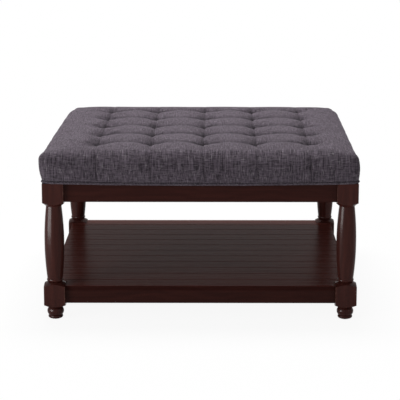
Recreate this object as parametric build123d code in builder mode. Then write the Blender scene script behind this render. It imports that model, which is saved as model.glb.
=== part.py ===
from build123d import *
import os
from math import cos, radians, sin, sqrt

os.makedirs("parts", exist_ok=True)

# A square ottoman coffee table: a tufted cushion on four turned legs, over a slatted shelf.
# The origin is on the floor under the centre, +Z is up, and the front faces -Y.
# All lengths are millimetres.

# Driving sizes of the whole table
frame_width = 800.0
frame_height = 357.0
cushion_width = 813.0
cushion_height = 87.0

# Legs: a square billet, turned between its two square blocks and below the lower one
leg_block = 54.0
upper_block_height = 49.5
lower_block_floor = 40.0
lower_block_height = 48.0
pommel_rise = 5.6
upper_neck_radius = 19.7
upper_neck_drop = 6.0
lower_neck_radius = 18.0
lower_neck_rise = 4.6
vase_radius = 25.3
vase_height = 200.0
bead_radius = 21.0
bead_height = 8.0
bead_top_radius = 19.6
foot_neck_radius = 17.0
foot_neck_drop = 4.6
bun_radius = 21.5
bun_height = 20.5
waist_radius = 16.8
waist_height = 9.7
ring_radius = 18.9
ring_height = 5.5

# Floor glides: a nylon pad with a nail, driven into each foot
glide_radius = 12.0
glide_thickness = 2.0
glide_nail_radius = 1.3
glide_nail_length = 16.0

# Aprons and shelf rails, each with a stub tenon on both ends
rail_inset = 12.0
apron_thickness = 20.0
apron_height = 49.0
shelf_rail_thickness = 20.0
shelf_rail_floor = 43.0
shelf_rail_height = 33.5
rail_edge_chamfer = 1.2
tenon_length = 16.0
tenon_thickness = 8.0
tenon_shoulder = 7.0
tenon_clearance = 0.2

# Corner braces, each pulled up to its leg by a hanger bolt with a washer and a wing nut
brace_gap = 8.0
brace_thickness = 24.0
brace_drop = 10.0
bolt_radius = 3.0
bolt_grip = 30.0
bolt_spare = 5.0
bolt_clearance = 0.1
brace_bolt_clearance = 0.5
washer_radius = 9.0
washer_thickness = 1.6
nut_radius = 5.5
nut_height = 7.0
wing_span = 14.0
wing_height = 12.0
wing_thickness = 2.2
wing_shares = ((0.0, 0.1), (0.5, 0.1), (1.0, 0.65), (0.92, 1.0), (0.6, 0.95), (0.3, 0.55), (0.0, 0.5))

# Shelf boards, whose chamfered edges meet in shallow V grooves, and the batten under their middle
board_count = 12
board_thickness = 12.0
board_gap = 0.4
board_chamfer = 1.6
board_notch_clearance = 0.5
batten_width = 44.0
batten_thickness = 18.0
brad_width = 1.4
brad_spread = 24.0
brad_bite = 8.0

# Cushion: pads in a square grid, parted by creases and pulled down at the tufts where creases cross
pads_per_side = 6
pad_crease = 5.0
tuft_depth = 20.0
rim_drop = 6.5
rim_crease = 2.5
edge_radius = 38.0
edge_turn = 78.0
edge_steps = 4
side_draw_in = 4.0
end_face_share = 0.5
pleat_width = 5.0
pleat_depth = 1.8
cover_thickness = 2.5
hem_thickness = 1.2
hem_width = 35.0
layer_clearance = 0.3
cover_slice_shares = (0.0, 0.4, 1.0)
filling_slice_shares = (0.0, 1.0)

# Welt round the foot of the cushion, and the corner that the cover has where it tucks in behind it
welt_radius = 3.2
welt_overhang = 4.0
welt_clearance = 0.3
tuck_corner = 20.8

# Seat board under the foam, with the twines, the dust cover, the staples and the screws that reach it
seat_board_thickness = 15.0
twine_radius = 1.25
twine_clearance = 0.2
dust_cover_thickness = 0.6
staple_wire = 1.0
staple_width = 11.0
staple_leg = 8.0
staple_pitch = 150.0
staples_per_side = 4
staple_margin = 3.2
screw_radius = 2.0
screw_head_radius = 4.2
screw_head_depth = 2.6
screw_offset = 30.0
screw_bite = 11.0
screw_clearance = 0.15

# Cuts run past the faces that they open by this much
overrun = 1.0

# Places that follow from the sizes above
half_frame = frame_width / 2
leg_axis = half_frame - leg_block / 2
leg_inner = half_frame - leg_block
rail_face = half_frame - rail_inset
upper_corner = frame_height - upper_block_height
lower_corner = lower_block_floor + lower_block_height
board_floor = shelf_rail_floor + shelf_rail_height
board_pitch = 2 * rail_face / board_count
half_cushion = cushion_width / 2
crown_height = frame_height + cushion_height
pad_pitch = cushion_width / pads_per_side
tuft_places = [pad_pitch * (i + 1) - half_cushion for i in range(pads_per_side - 1)]
hem_top = frame_height + hem_thickness
seat_height = hem_top + seat_board_thickness
welt_axis = half_frame + welt_overhang - welt_radius
welt_height = frame_height + welt_clearance + welt_radius
tuck_half = welt_axis - welt_radius - welt_clearance
form_floor = welt_height + welt_radius + welt_clearance
cavity_floor = form_floor + cover_thickness
cavity_half = tuck_half - hem_thickness
cavity_corner = tuck_corner - hem_thickness
board_half = cavity_half - layer_clearance
board_corner = cavity_corner - layer_clearance
hem_inner = tuck_half - hem_width
foam_inset = cover_thickness + layer_clearance

# The floor, height and thickness of the rails in each tier
apron_tier = (frame_height - apron_height, apron_height, apron_thickness)
shelf_tier = (shelf_rail_floor, shelf_rail_height, shelf_rail_thickness)

corners = {"front_left": (-1, -1), "front_right": (1, -1), "rear_left": (-1, 1), "rear_right": (1, 1)}
side_turns = {"rear": 0, "left": 90, "front": 180, "right": 270}


def save(part, name):
    """Labels a finished piece and writes it to its own file."""
    part.label = name
    export_step(part, f"parts/{name}.step")


def side_plane(side, height):
    """A level plane whose Y axis points out through one side and whose X axis runs along it."""
    return Plane.XY.offset(height).rotated((0, 0, side_turns[side]))


def corner_plane(corner, height, distance):
    """An upright plane that far in from the inner edge of a leg, facing the middle of the table."""
    x_sign, y_sign = corners[corner]
    edge = (x_sign * leg_inner, y_sign * leg_inner, height)
    return Plane(edge, x_dir=(0, 0, 1), z_dir=(-x_sign, -y_sign, 0)).offset(distance)


def brace_middle(tier):
    """The height of the hanger bolts in a tier, at the middle of the braces."""
    floor, height, thickness = tier
    return floor + (brace_drop + height) / 2


def tenon_bar(side, tier, clearance, mode):
    """Adds or cuts a bar that runs through a rail and out at its ends, as its two stub tenons."""
    floor, height, thickness = tier
    with BuildSketch(side_plane(side, floor + tenon_shoulder - clearance)) as bar:
        with Locations((0, rail_face - thickness / 2)):
            Rectangle(2 * (leg_inner + tenon_length + clearance), tenon_thickness + 2 * clearance)
    extrude(bar.sketch, amount=height - 2 * (tenon_shoulder - clearance), mode=mode)


def turned_leg(corner):
    """A leg turned from a square billet: its round profile, cut by the square of its blocks."""
    x_sign, y_sign = corners[corner]
    axis = (x_sign * leg_axis, y_sign * leg_axis, 0)
    face_radius = leg_block / 2
    corner_radius = face_radius * sqrt(2)
    foot_top = lower_block_floor - pommel_rise - foot_neck_drop
    bead_floor = lower_corner + pommel_rise + lower_neck_rise
    bead_top = bead_floor + bead_height
    vase_top = upper_corner - pommel_rise - upper_neck_drop
    with BuildPart() as leg:
        with BuildSketch(Plane(axis, x_dir=(1, 0, 0), z_dir=(0, -1, 0))):
            with BuildLine():
                ThreePointArc(
                    (glide_radius, glide_thickness),
                    (ring_radius, ring_height),
                    (waist_radius, waist_height),
                )
                ThreePointArc(
                    (waist_radius, waist_height),
                    (bun_radius, bun_height),
                    (foot_neck_radius, foot_top),
                )
                ThreePointArc(
                    (foot_neck_radius, foot_top),
                    (face_radius, lower_block_floor - pommel_rise),
                    (corner_radius, lower_block_floor),
                )
                Polyline(
                    (corner_radius, lower_block_floor),
                    (leg_block, lower_block_floor),
                    (leg_block, lower_corner),
                    (corner_radius, lower_corner),
                )
                ThreePointArc(
                    (corner_radius, lower_corner),
                    (face_radius, lower_corner + pommel_rise),
                    (lower_neck_radius, bead_floor),
                )
                ThreePointArc(
                    (lower_neck_radius, bead_floor),
                    (bead_radius, bead_floor + bead_height / 2),
                    (bead_top_radius, bead_top),
                )
                TangentArc((vase_radius, vase_height), (bead_top_radius, bead_top), tangent=(0, -1))
                TangentArc((vase_radius, vase_height), (upper_neck_radius, vase_top), tangent=(0, 1))
                ThreePointArc(
                    (upper_neck_radius, vase_top),
                    (face_radius, upper_corner - pommel_rise),
                    (corner_radius, upper_corner),
                )
                Polyline(
                    (corner_radius, upper_corner),
                    (leg_block, upper_corner),
                    (leg_block, frame_height),
                    (0, frame_height),
                    (0, glide_thickness),
                    (glide_radius, glide_thickness),
                )
            make_face()
        revolve(axis=Axis(axis, (0, 0, 1)))
        with BuildSketch(Plane(axis)):
            Rectangle(leg_block, leg_block)
        extrude(amount=frame_height, mode=Mode.INTERSECT)
        for tier in (apron_tier, shelf_tier):
            for side in corner.split("_"):
                tenon_bar(side, tier, tenon_clearance, Mode.SUBTRACT)
            with BuildSketch(corner_plane(corner, brace_middle(tier), 0)):
                Circle(bolt_radius + bolt_clearance)
            extrude(amount=-(bolt_grip + bolt_clearance), mode=Mode.SUBTRACT)
        with BuildSketch(Plane(axis).offset(glide_thickness)):
            Circle(glide_nail_radius + bolt_clearance)
        extrude(amount=glide_nail_length, mode=Mode.SUBTRACT)
    return leg.part


def rail(side, tier):
    """An apron or a shelf rail: a board set back from the legs' faces, with a stub tenon on each end."""
    floor, height, thickness = tier
    with BuildPart() as board:
        with BuildSketch(side_plane(side, floor)):
            with Locations((0, rail_face - thickness / 2)):
                Rectangle(2 * leg_inner, thickness)
        extrude(amount=height)
        long_edges = board.edges().filter_by(lambda edge: edge.length > leg_inner)
        chamfer(long_edges.group_by(Axis.Z)[0], rail_edge_chamfer)
        tenon_bar(side, tier, 0, Mode.ADD)
    return board.part


def screw_place(corner):
    """Where the screw up into the seat board passes through a corner brace, in plan."""
    place = corner_plane(corner, 0, brace_gap + brace_thickness / 2)
    return place.from_local_coords((0, screw_offset, 0))


def screws(clearance, mode):
    """Adds or cuts the countersunk screws that hold the seat board down, one through each upper brace."""
    head_floor = frame_height - apron_height + brace_drop
    length = seat_height - seat_board_thickness + screw_bite - head_floor
    with Locations(*[screw_place(corner) + Vector(0, 0, head_floor) for corner in corners]):
        Cone(
            screw_head_radius + clearance,
            screw_radius + clearance,
            screw_head_depth,
            align=(Align.CENTER, Align.CENTER, Align.MIN),
            mode=mode,
        )
        Cylinder(
            screw_radius + clearance,
            length + clearance,
            align=(Align.CENTER, Align.CENTER, Align.MIN),
            mode=mode,
        )


def corner_brace(corner, tier):
    """A block across the corner between two rails, whose slanted ends lie flat on them."""
    floor, height, thickness = tier
    x_sign, y_sign = corners[corner]
    face = rail_face - thickness
    near = face - 2 * (face - leg_inner) - brace_gap * sqrt(2)
    far = near - brace_thickness * sqrt(2)
    outline = [(face, near), (face, far), (far, face), (near, face)]
    with BuildPart() as brace:
        with BuildSketch(Plane.XY.offset(floor + brace_drop)):
            Polygon(*[(x_sign * x, y_sign * y) for x, y in outline], align=None)
        extrude(amount=height - brace_drop)
        with BuildSketch(corner_plane(corner, brace_middle(tier), brace_gap - overrun)):
            Circle(bolt_radius + brace_bolt_clearance)
        extrude(amount=brace_thickness + 2 * overrun, mode=Mode.SUBTRACT)
        if tier == apron_tier:
            screws(screw_clearance, Mode.SUBTRACT)
    return brace.part


def hanger_bolts(tier):
    """The bolts that stand in the legs' inner edges and pass through the braces of a tier."""
    reach = brace_gap + brace_thickness + washer_thickness + nut_height + bolt_spare
    with BuildPart() as bolts:
        for corner in corners:
            with BuildSketch(corner_plane(corner, brace_middle(tier), -bolt_grip)):
                Circle(bolt_radius)
            extrude(amount=bolt_grip + reach)
    return bolts.part


def washers(tier):
    """A flat washer against the inner face of each brace of a tier."""
    with BuildPart() as rings:
        for corner in corners:
            with BuildSketch(corner_plane(corner, brace_middle(tier), brace_gap + brace_thickness)):
                Circle(washer_radius)
                Circle(bolt_radius + brace_bolt_clearance, mode=Mode.SUBTRACT)
            extrude(amount=washer_thickness)
    return rings.part


def wing_nuts(tier):
    """A wing nut on each bolt of a tier: a round hub with two raised ears."""
    with BuildPart() as nuts:
        for corner in corners:
            seat = corner_plane(corner, brace_middle(tier), brace_gap + brace_thickness + washer_thickness)
            with BuildSketch(seat):
                Circle(nut_radius)
            extrude(amount=nut_height)
            with BuildSketch(Plane(seat.origin, x_dir=seat.y_dir, z_dir=seat.x_dir)):
                for side in (1, -1):
                    Polygon(*[(side * x * wing_span, y * wing_height) for x, y in wing_shares], align=None)
            extrude(amount=wing_thickness / 2, both=True)
            with BuildSketch(seat):
                Circle(bolt_radius + bolt_clearance)
            extrude(amount=wing_height, mode=Mode.SUBTRACT)
    return nuts.part


def brads(mode):
    """Adds or cuts the square brads driven up through the batten, two into each shelf board."""
    with BuildSketch(Plane.XY.offset(board_floor - batten_thickness)) as heads:
        for i in range(board_count):
            with Locations((0, board_pitch * i - rail_face + board_pitch / 2)):
                with GridLocations(brad_spread, 0, 2, 1):
                    Rectangle(brad_width, brad_width)
    extrude(heads.sketch, amount=batten_thickness + brad_bite, mode=mode)


def cushion_slice(y, half_width, crest, crease, rim, radius, floor, form_base):
    """An upright slice across the cushion: drawn-in sides, round edges, and an arc over each pad."""
    flank = rim - radius

    def drawn_in(height):
        """Half the slice's width on its flank, which curves in from plumb towards the base."""
        return half_width - side_draw_in * ((flank - height) / (flank - form_base)) ** 2

    middle = (flank + floor) / 2
    bend = radius * sin(radians(45))
    with BuildSketch(Plane((0, y, 0), x_dir=(1, 0, 0), z_dir=(0, -1, 0))) as piece:
        with BuildLine():
            Line((-drawn_in(floor), floor), (drawn_in(floor), floor))
            for side in (1, -1):
                ThreePointArc(
                    (side * drawn_in(floor), floor),
                    (side * drawn_in(middle), middle),
                    (side * half_width, flank),
                )
                ThreePointArc(
                    (side * half_width, flank),
                    (side * (half_width - radius + bend), flank + bend),
                    (side * (half_width - radius), rim),
                )
                ThreePointArc(
                    (side * (half_width - radius), rim),
                    (side * (tuft_places[-1] + pad_pitch / 2), crest),
                    (side * tuft_places[-1], crease),
                )
            for place in tuft_places[:-1]:
                ThreePointArc((place, crease), (place + pad_pitch / 2, crest), (place + pad_pitch, crease))
        make_face()
    return piece.sketch.face()


def cushion_form(inset, form_base, slice_shares, mode):
    """Adds or cuts the tufted cushion's form, brought in all over by the inset, above a level base.

    Slices stand in each crease, on each crown and at the given shares between them, and others turn
    the rounded front and rear edges. Depths fade with the square of the distance from a crease.
    """
    half = half_cushion - inset
    crown = crown_height - inset
    radius = edge_radius - inset
    steps = [-share for share in reversed(slice_shares)] + list(slice_shares[1:-1])
    rows = [(place + step * pad_pitch / 2, abs(step)) for place in tuft_places for step in steps]
    rows.append((tuft_places[-1] + pad_pitch / 2, 1))
    slices = []
    for y, share in rows:
        fade = (1 - share) ** 2
        crest = crown - pad_crease * fade
        crease = crown - pad_crease - (tuft_depth - pad_crease) * fade
        rim = crown - rim_drop - rim_crease * fade
        slices.append(cushion_slice(y, half, crest, crease, rim, radius, form_base, form_base))
    for step in range(edge_steps + 1):
        turn = radians(edge_turn * step / edge_steps)
        fall = radius * (1 - cos(turn))
        back = radius * (1 - sin(turn) / sin(radians(edge_turn)))
        crest = crown - rim_drop - fall
        rim = crest - rim_drop
        flank = rim - radius * cos(turn)
        reach = end_face_share + (1 - end_face_share) * sqrt(min(back / side_draw_in, 1))
        floor = flank - (flank - form_base) * reach
        sizes = (half - fall, crest, crest - rim_crease, rim, radius * cos(turn), floor, form_base)
        slices.insert(0, cushion_slice(back - half, *sizes))
        slices.append(cushion_slice(half - back, *sizes))
    loft(slices, ruled=True, mode=mode)


def staples(inward, underside, mode):
    """Adds or cuts rows of staples, set in from the cushion's foot, with crowns against an underside."""
    for side in side_turns:
        upright = side_plane(side, underside)
        row = Plane(upright.from_local_coords((0, inward, 0)), x_dir=upright.x_dir, z_dir=upright.y_dir)
        with BuildSketch(row) as wires:
            with GridLocations(staple_pitch, 0, staples_per_side, 1):
                with Locations((0, staple_wire / 2)):
                    Rectangle(staple_width, staple_wire)
                with GridLocations(staple_width - staple_wire, 0, 2, 1):
                    with Locations((0, -staple_leg / 2)):
                        Rectangle(staple_wire, staple_leg)
        extrude(wires.sketch, amount=staple_wire / 2, both=True, mode=mode)


hem_staples = (hem_inner + staple_margin, frame_height)
dust_cover_staples = (hem_inner - staple_margin, hem_top - dust_cover_thickness)

# The wooden frame: legs, aprons, shelf rails and corner braces
for corner in corners:
    save(turned_leg(corner), f"leg_{corner}")
    save(corner_brace(corner, apron_tier), f"apron_brace_{corner}")
    save(corner_brace(corner, shelf_tier), f"shelf_brace_{corner}")
for side in side_turns:
    save(rail(side, apron_tier), f"apron_{side}")
    save(rail(side, shelf_tier), f"shelf_rail_{side}")

# The hardware in the corners
for name, tier in (("apron", apron_tier), ("shelf", shelf_tier)):
    save(hanger_bolts(tier), f"{name}_hanger_bolts")
    save(washers(tier), f"{name}_bolt_washers")
    save(wing_nuts(tier), f"{name}_wing_nuts")

# A glide under each foot
with BuildPart() as floor_glides:
    with Locations(*[(x * leg_axis, y * leg_axis) for x, y in corners.values()]):
        Cylinder(glide_radius, glide_thickness, align=(Align.CENTER, Align.CENTER, Align.MIN))
        Cylinder(glide_nail_radius, glide_nail_length, align=(Align.CENTER, Align.CENTER, Align.MIN))
save(floor_glides.part, "floor_glides")

# The shelf: boards over all four rails, notched round the legs, with a batten and its brads below
for i in range(board_count):
    with BuildPart() as shelf_board:
        with BuildSketch(Plane.XY.offset(board_floor)):
            with Locations((0, board_pitch * i - rail_face + board_pitch / 2)):
                Rectangle(2 * rail_face, board_pitch - board_gap)
            with GridLocations(2 * leg_axis, 2 * leg_axis, 2, 2):
                Rectangle(
                    leg_block + 2 * board_notch_clearance,
                    leg_block + 2 * board_notch_clearance,
                    mode=Mode.SUBTRACT,
                )
        extrude(amount=board_thickness)
        chamfer(shelf_board.edges().filter_by(Axis.X).group_by(Axis.Z)[-1], board_chamfer)
        brads(Mode.SUBTRACT)
    save(shelf_board.part, f"shelf_board_{i + 1:02d}")

with BuildPart() as shelf_batten:
    with BuildSketch(Plane.XY.offset(board_floor - batten_thickness)):
        Rectangle(batten_width, 2 * (rail_face - shelf_rail_thickness))
    extrude(amount=batten_thickness)
    brads(Mode.SUBTRACT)
save(shelf_batten.part, "shelf_batten")

with BuildPart() as shelf_brads:
    brads(Mode.ADD)
save(shelf_brads.part, "shelf_brads")

# The seat board, screwed down through the upper braces
with BuildPart() as seat_board:
    with BuildSketch(Plane.XY.offset(hem_top)):
        RectangleRounded(2 * board_half, 2 * board_half, board_corner)
    extrude(amount=seat_board_thickness)
    screws(screw_clearance, Mode.SUBTRACT)
    staples(*hem_staples, Mode.SUBTRACT)
    staples(*dust_cover_staples, Mode.SUBTRACT)
save(seat_board.part, "seat_board")

with BuildPart() as seat_screws:
    screws(0, Mode.ADD)
save(seat_screws.part, "seat_screws")

# The foam, with a slit for each tufting twine, and the twines from the board up to the tufts
twine_length = crown_height - foam_inset - tuft_depth - seat_height
with BuildPart() as foam_pad:
    cushion_form(foam_inset, seat_height, filling_slice_shares, Mode.ADD)
    with BuildSketch(Plane.XY.offset(seat_height)):
        with GridLocations(pad_pitch, pad_pitch, pads_per_side - 1, pads_per_side - 1):
            RegularPolygon(twine_radius + twine_clearance, 6)
    extrude(amount=cushion_height, mode=Mode.SUBTRACT)
save(foam_pad.part, "foam_pad")

with BuildPart() as tufting_twines:
    with BuildSketch(Plane.XY.offset(seat_height)):
        with GridLocations(pad_pitch, pad_pitch, pads_per_side - 1, pads_per_side - 1):
            RegularPolygon(twine_radius, 6)
    extrude(amount=twine_length)
save(tufting_twines.part, "tufting_twines")

# The fabric cover: tufted above, tucked in behind the welt, and turned under the seat board as a hem
with BuildPart() as cushion_cover:
    cushion_form(0, form_floor, cover_slice_shares, Mode.ADD)
    with BuildSketch(Plane.XY.offset(frame_height)):
        RectangleRounded(2 * tuck_half, 2 * tuck_half, tuck_corner)
    extrude(amount=form_floor - frame_height)
    cushion_form(cover_thickness, cavity_floor, filling_slice_shares, Mode.SUBTRACT)
    with BuildSketch(Plane.XY.offset(hem_top)):
        RectangleRounded(2 * cavity_half, 2 * cavity_half, cavity_corner)
    extrude(amount=seat_board_thickness, mode=Mode.SUBTRACT)
    with BuildSketch(Plane.XY.offset(frame_height)):
        Rectangle(2 * hem_inner, 2 * hem_inner)
    extrude(amount=hem_thickness, mode=Mode.SUBTRACT)
    for side in side_turns:
        with BuildSketch(side_plane(side, frame_height)):
            with Locations(*[(place, half_cushion - pleat_depth) for place in tuft_places]):
                Polygon((0, 0), (pleat_width, 2 * pleat_depth), (-pleat_width, 2 * pleat_depth), align=None)
        extrude(amount=cushion_height, mode=Mode.SUBTRACT)
    staples(*hem_staples, Mode.SUBTRACT)
save(cushion_cover.part, "cushion_cover")

with BuildPart() as cover_welt:
    with BuildLine(Plane.XY.offset(welt_height)) as welt_path:
        FilletPolyline(
            (-welt_axis, -welt_axis),
            (welt_axis, -welt_axis),
            (welt_axis, welt_axis),
            (-welt_axis, welt_axis),
            radius=tuck_corner + welt_axis - tuck_half,
            close=True,
        )
    with BuildSketch(Plane(welt_path.line @ 0, z_dir=welt_path.line % 0)):
        Circle(welt_radius)
    sweep(path=welt_path.line)
save(cover_welt.part, "cover_welt")

# The dust cover on the seat board's underside, pierced by the seat screws and held by its staples
with BuildPart() as dust_cover:
    with BuildSketch(Plane.XY.offset(hem_top - dust_cover_thickness)):
        Rectangle(2 * (hem_inner - layer_clearance), 2 * (hem_inner - layer_clearance))
    extrude(amount=dust_cover_thickness)
    screws(screw_clearance, Mode.SUBTRACT)
    staples(*dust_cover_staples, Mode.SUBTRACT)
save(dust_cover.part, "dust_cover")

for name, row in (("cover_staples", hem_staples), ("dust_cover_staples", dust_cover_staples)):
    with BuildPart() as staple_rows:
        staples(*row, Mode.ADD)
    save(staple_rows.part, name)
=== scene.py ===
"""Dresses a square ottoman coffee table around its packed frame: tufted cloth, wood, foam and metal.

Lengths are metres in the frame's own axes: the origin is on the floor under the middle of the table,
+Z is up and the front faces -Y. Each new piece is a surface worked out on a grid of points.
"""

from functools import lru_cache
from math import cos, pi, radians, sin, tau

import bpy
import numpy as np
from bpy.props import FloatProperty, FloatVectorProperty, IntProperty, PointerProperty
from mathutils import Matrix, Vector


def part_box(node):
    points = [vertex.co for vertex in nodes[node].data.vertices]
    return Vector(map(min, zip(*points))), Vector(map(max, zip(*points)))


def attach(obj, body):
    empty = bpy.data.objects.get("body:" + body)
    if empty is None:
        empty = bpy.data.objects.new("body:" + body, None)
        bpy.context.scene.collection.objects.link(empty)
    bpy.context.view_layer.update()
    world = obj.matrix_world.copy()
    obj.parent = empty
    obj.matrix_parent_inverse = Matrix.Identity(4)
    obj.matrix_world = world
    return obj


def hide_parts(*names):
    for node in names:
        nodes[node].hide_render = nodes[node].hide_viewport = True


bl_info = {
    "name": "Ottoman coffee table",
    "version": (1, 0, 0),
    "blender": (4, 5, 0),
    "location": "3D View > Sidebar > Ottoman",
    "description": "Dresses a tufted ottoman coffee table in cloth, wood and metal",
    "category": "Object",
}

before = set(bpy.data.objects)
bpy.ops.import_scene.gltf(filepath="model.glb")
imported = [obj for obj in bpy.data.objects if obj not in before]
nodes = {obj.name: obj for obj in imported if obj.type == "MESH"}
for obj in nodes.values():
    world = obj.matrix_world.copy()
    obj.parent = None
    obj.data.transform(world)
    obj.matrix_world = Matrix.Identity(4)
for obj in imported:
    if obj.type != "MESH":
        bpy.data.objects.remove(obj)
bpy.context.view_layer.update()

cover_low, cover_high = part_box("cushion_cover")
board_low, board_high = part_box("seat_board")
welt_low, welt_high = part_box("cover_welt")
dust_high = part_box("dust_cover")[1]
leg_low, leg_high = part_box("leg_front_right")
shelf_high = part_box("shelf_board_12")[1]

MM = 0.001
LEG_AXIS = (leg_low.x + leg_high.x) / 2
LEG_HALF = (leg_high.x - leg_low.x) / 2
BOARD_PITCH = shelf_high.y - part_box("shelf_board_11")[1].y

# Room under the solid cover's crown for the cloth to swell into
SWELL_ROOM = 2.5 * MM
# Seed of the cushion's unevenness, and the frames that its cloth is simulated for
WAVE_SEED = 7
CLOTH_FRAMES = 18

# Turn of a pattern that lays its X axis along a wood's grain
GRAIN_TURNS = {
    "x": (0, 0, 0),
    "y": (0, 0, -pi / 2),
    "z": (0, pi / 2, 0),
    "left": (0, 0, pi / 4),
    "right": (0, 0, -pi / 4),
}
# The corner braces whose grain slants the same way
BRACE_CORNERS = {"right": ("front_left", "rear_right"), "left": ("front_right", "rear_left")}
# How far outside a leg's axis the heart of its tree lies, along X and Y
LEG_HEART = (0.05, 0.04)

# Each lamp's place, the point that it faces, its width and height, and its power in watts
LAMPS = {
    "key_left": ((-2.6, -2.2, 0.75), (0, 0, 0.45), (1.9, 1.4), 46),
    "fill_right": ((2.8, -2.4, 1.6), (0, 0, 0.25), (0.8, 1.6), 8),
    "overhead": ((-0.1, 0.65, 2.9), (0, 0, 0.3), (1.2, 1.2), 91),
}
LEG_CARD = ((-1.25, -0.95, 0.31), (-0.37, -0.37, 0.3), (0.9, 0.58), 33)
# Half the floor's width, and how far the camera sees
FLOOR_HALF = 30.0
CAMERA_REACH = 100.0


def number(name, description, default, **rules):
    """A property that holds one number."""
    return FloatProperty(name=name, description=description, default=default, **rules)


def length(name, description, default):
    """A length property in metres."""
    return number(name, description, default, unit="LENGTH")


def angle(name, description, default):
    """An angle property in radians."""
    return number(name, description, default, unit="ROTATION")


def share(name, description, default):
    """A property from 0 to 1."""
    return number(name, description, default, min=0, max=1, subtype="FACTOR")


def colour(name, description, default):
    """A colour property, in linear red, green and blue."""
    return FloatVectorProperty(
        name=name, description=description, default=default, subtype="COLOR", size=3, min=0, max=1
    )


class CushionSizes(bpy.types.PropertyGroup):
    """Sizes of the tufted cushion."""

    pads: IntProperty(name="Pads", description="Pads along a side, between the rows of tufts", default=6)
    half_width: length("Half width", "From the middle to the widest part of a side", cover_high.x)
    crown: length("Crown", "Height of the pads before the cloth swells", cover_high.z - SWELL_ROOM)
    foot: length("Foot", "Height of the cushion's lower edge", 364 * MM)
    foot_round: length("Foot round", "Rounding along the cushion's lower edge", 2 * MM)
    edge_radius: length("Edge radius", "Rounding between the top and the sides", 18 * MM)
    front_round: length("Front round", "Rounding of the front edge, halfway along it", 40 * MM)
    corner_radius: length("Corner radius", "Corner of the flat top, inside the rounding", 4 * MM)
    rim_power: number("Rim power", "How late the fall to the edge sets in", 1.8, min=1)
    foot_corner: length("Foot corner", "Corner of the sides at their foot, seen from above", 26 * MM)
    rim_drop: length("Rim drop", "Fall from the outer pads' middles to the edge", 10 * MM)
    draw_in: length("Draw in", "How far the sides pull in at their foot", 2 * MM)
    sag: length("Sag", "How far the foot and its welt hang lower between the corners", 4.5 * MM)
    belly: length("Belly", "How far the sides bulge at half their height", 1.5 * MM)
    crease: length("Crease", "Depth of the valleys between pads", 1.8 * MM)
    tuft: length("Tuft", "Further depth at a tuft, below the two valleys that cross there", 7.5 * MM)
    swell: length("Swell", "The most that the simulated cloth moves from its pattern", 3 * MM)
    side_share: share("Side share", "Share of the swell that the foot's cloth keeps", 0.3)
    fade: length("Fade", "How far past the outer tufts the valleys run before they fade", 60 * MM)
    side_crease: length("Side crease", "Depth of the valleys down the sides", 1.4 * MM)
    fold: length("Fold", "Depth of the sharp fold that meets each tuft", 5 * MM)
    fold_lip: length("Fold lip", "Width of the steep side of a fold", 3 * MM)
    fold_back: length("Fold back", "Width of the gentle side of a fold", 38 * MM)
    pleat_back: length("Pleat back", "Width of the gentle side of a pleat down the front", 9 * MM)
    pucker: length("Pucker", "Height of the small wrinkles that spread from a tuft", 0.9 * MM)
    wander: length("Wander", "How far creases stray from straight lines", 1.5 * MM)
    drift: length("Drift", "How far the tufting lies to the right of its twines", 10 * MM)
    skew: share("Skew", "Lean of the top to the right, for each length towards the rear", 0.0155)
    taper: length("Taper", "How much narrower the top is on each side at the rear", 2.5 * MM)
    rear_pull: length("Rear pull", "How far the rear corners are pulled in", 15 * MM)
    front_lift: length("Front lift", "How far the front corners stand above the edges' fall", 1.2 * MM)
    corner_reach: length("Corner reach", "How far from a corner its pull and lift begin", 110 * MM)
    cover: length("Cover", "Thickness of the fabric and its backing", 2.5 * MM)
    layer_gap: length("Layer gap", "Clearance between the layers", 0.3 * MM)
    hem: length("Hem", "Thickness of the hem under the seat board", 1.2 * MM)
    hem_width: length("Hem width", "Width of the hem under the seat board", 35 * MM)


class TrimSizes(bpy.types.PropertyGroup):
    """Sizes of the welt and the dust cover."""

    welt_radius: length("Welt radius", "Radius of the piping round the foot", 3.2 * MM)
    welt_corner: length("Welt corner", "Radius of the piping's line at the corners", 24.3 * MM)
    welt_slack: length("Welt slack", "How much thinner than its radius the piping is on average", 0.15 * MM)
    welt_wave: length("Welt wave", "Height of the piping's small waves", 0.12 * MM)
    welt_swell: share("Welt swell", "Share by which the piping is thicker and thinner in places", 0.02)
    dust_sag: length("Dust cover sag", "Fall of the dust cover at its middle", 4 * MM)
    dust_thickness: length("Dust cover thickness", "Thickness of the dust cloth", 0.6 * MM)
    staple_pitch: length("Staple pitch", "Distance between the dust cover's staples", 150 * MM)
    staple_draw: length("Staple draw", "Sag of the dust cover's edge between staples", 0.5 * MM)
    staple_reach: length("Staple reach", "How far in from the edge that sag fades", 30 * MM)


class ClothColours(bpy.types.PropertyGroup):
    """Colours and yarns of the cloths and the foam."""

    warp: colour("Warp", "Yarn that runs down the front", (0.093, 0.0775, 0.095))
    weft: colour("Weft", "Yarn that runs across the front", (0.0755, 0.0625, 0.0755))
    slub: colour("Slub", "Thick light places in the yarns", (0.230, 0.205, 0.225))
    tint: colour("Tint", "Warmth that comes and goes over the linen", (0.105, 0.075, 0.095))
    yarn: length("Yarn pitch", "Distance between neighbouring yarns", 1.1 * MM)
    crimp: share("Crimp", "How much higher a yarn lies where it passes over another", 0.6)
    warp_streaks: number("Warp streaks", "How unevenly the warp is dyed", 3.4, min=0)
    weft_streaks: number("Weft streaks", "How unevenly the weft is dyed", 2.8, min=0)
    clouds: number("Clouds", "How unevenly the whole cloth is dyed", 0.3, min=0)
    foam: colour("Foam", "Upholstery foam", (0.80, 0.72, 0.50))
    foam_pore: colour("Foam pore", "Open cells of the foam", (0.45, 0.36, 0.20))
    dust_cloth: colour("Dust cloth", "Non-woven cloth under the seat", (0.020, 0.020, 0.022))
    twine: colour("Twine", "Tufting twine", (0.55, 0.47, 0.34))


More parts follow.
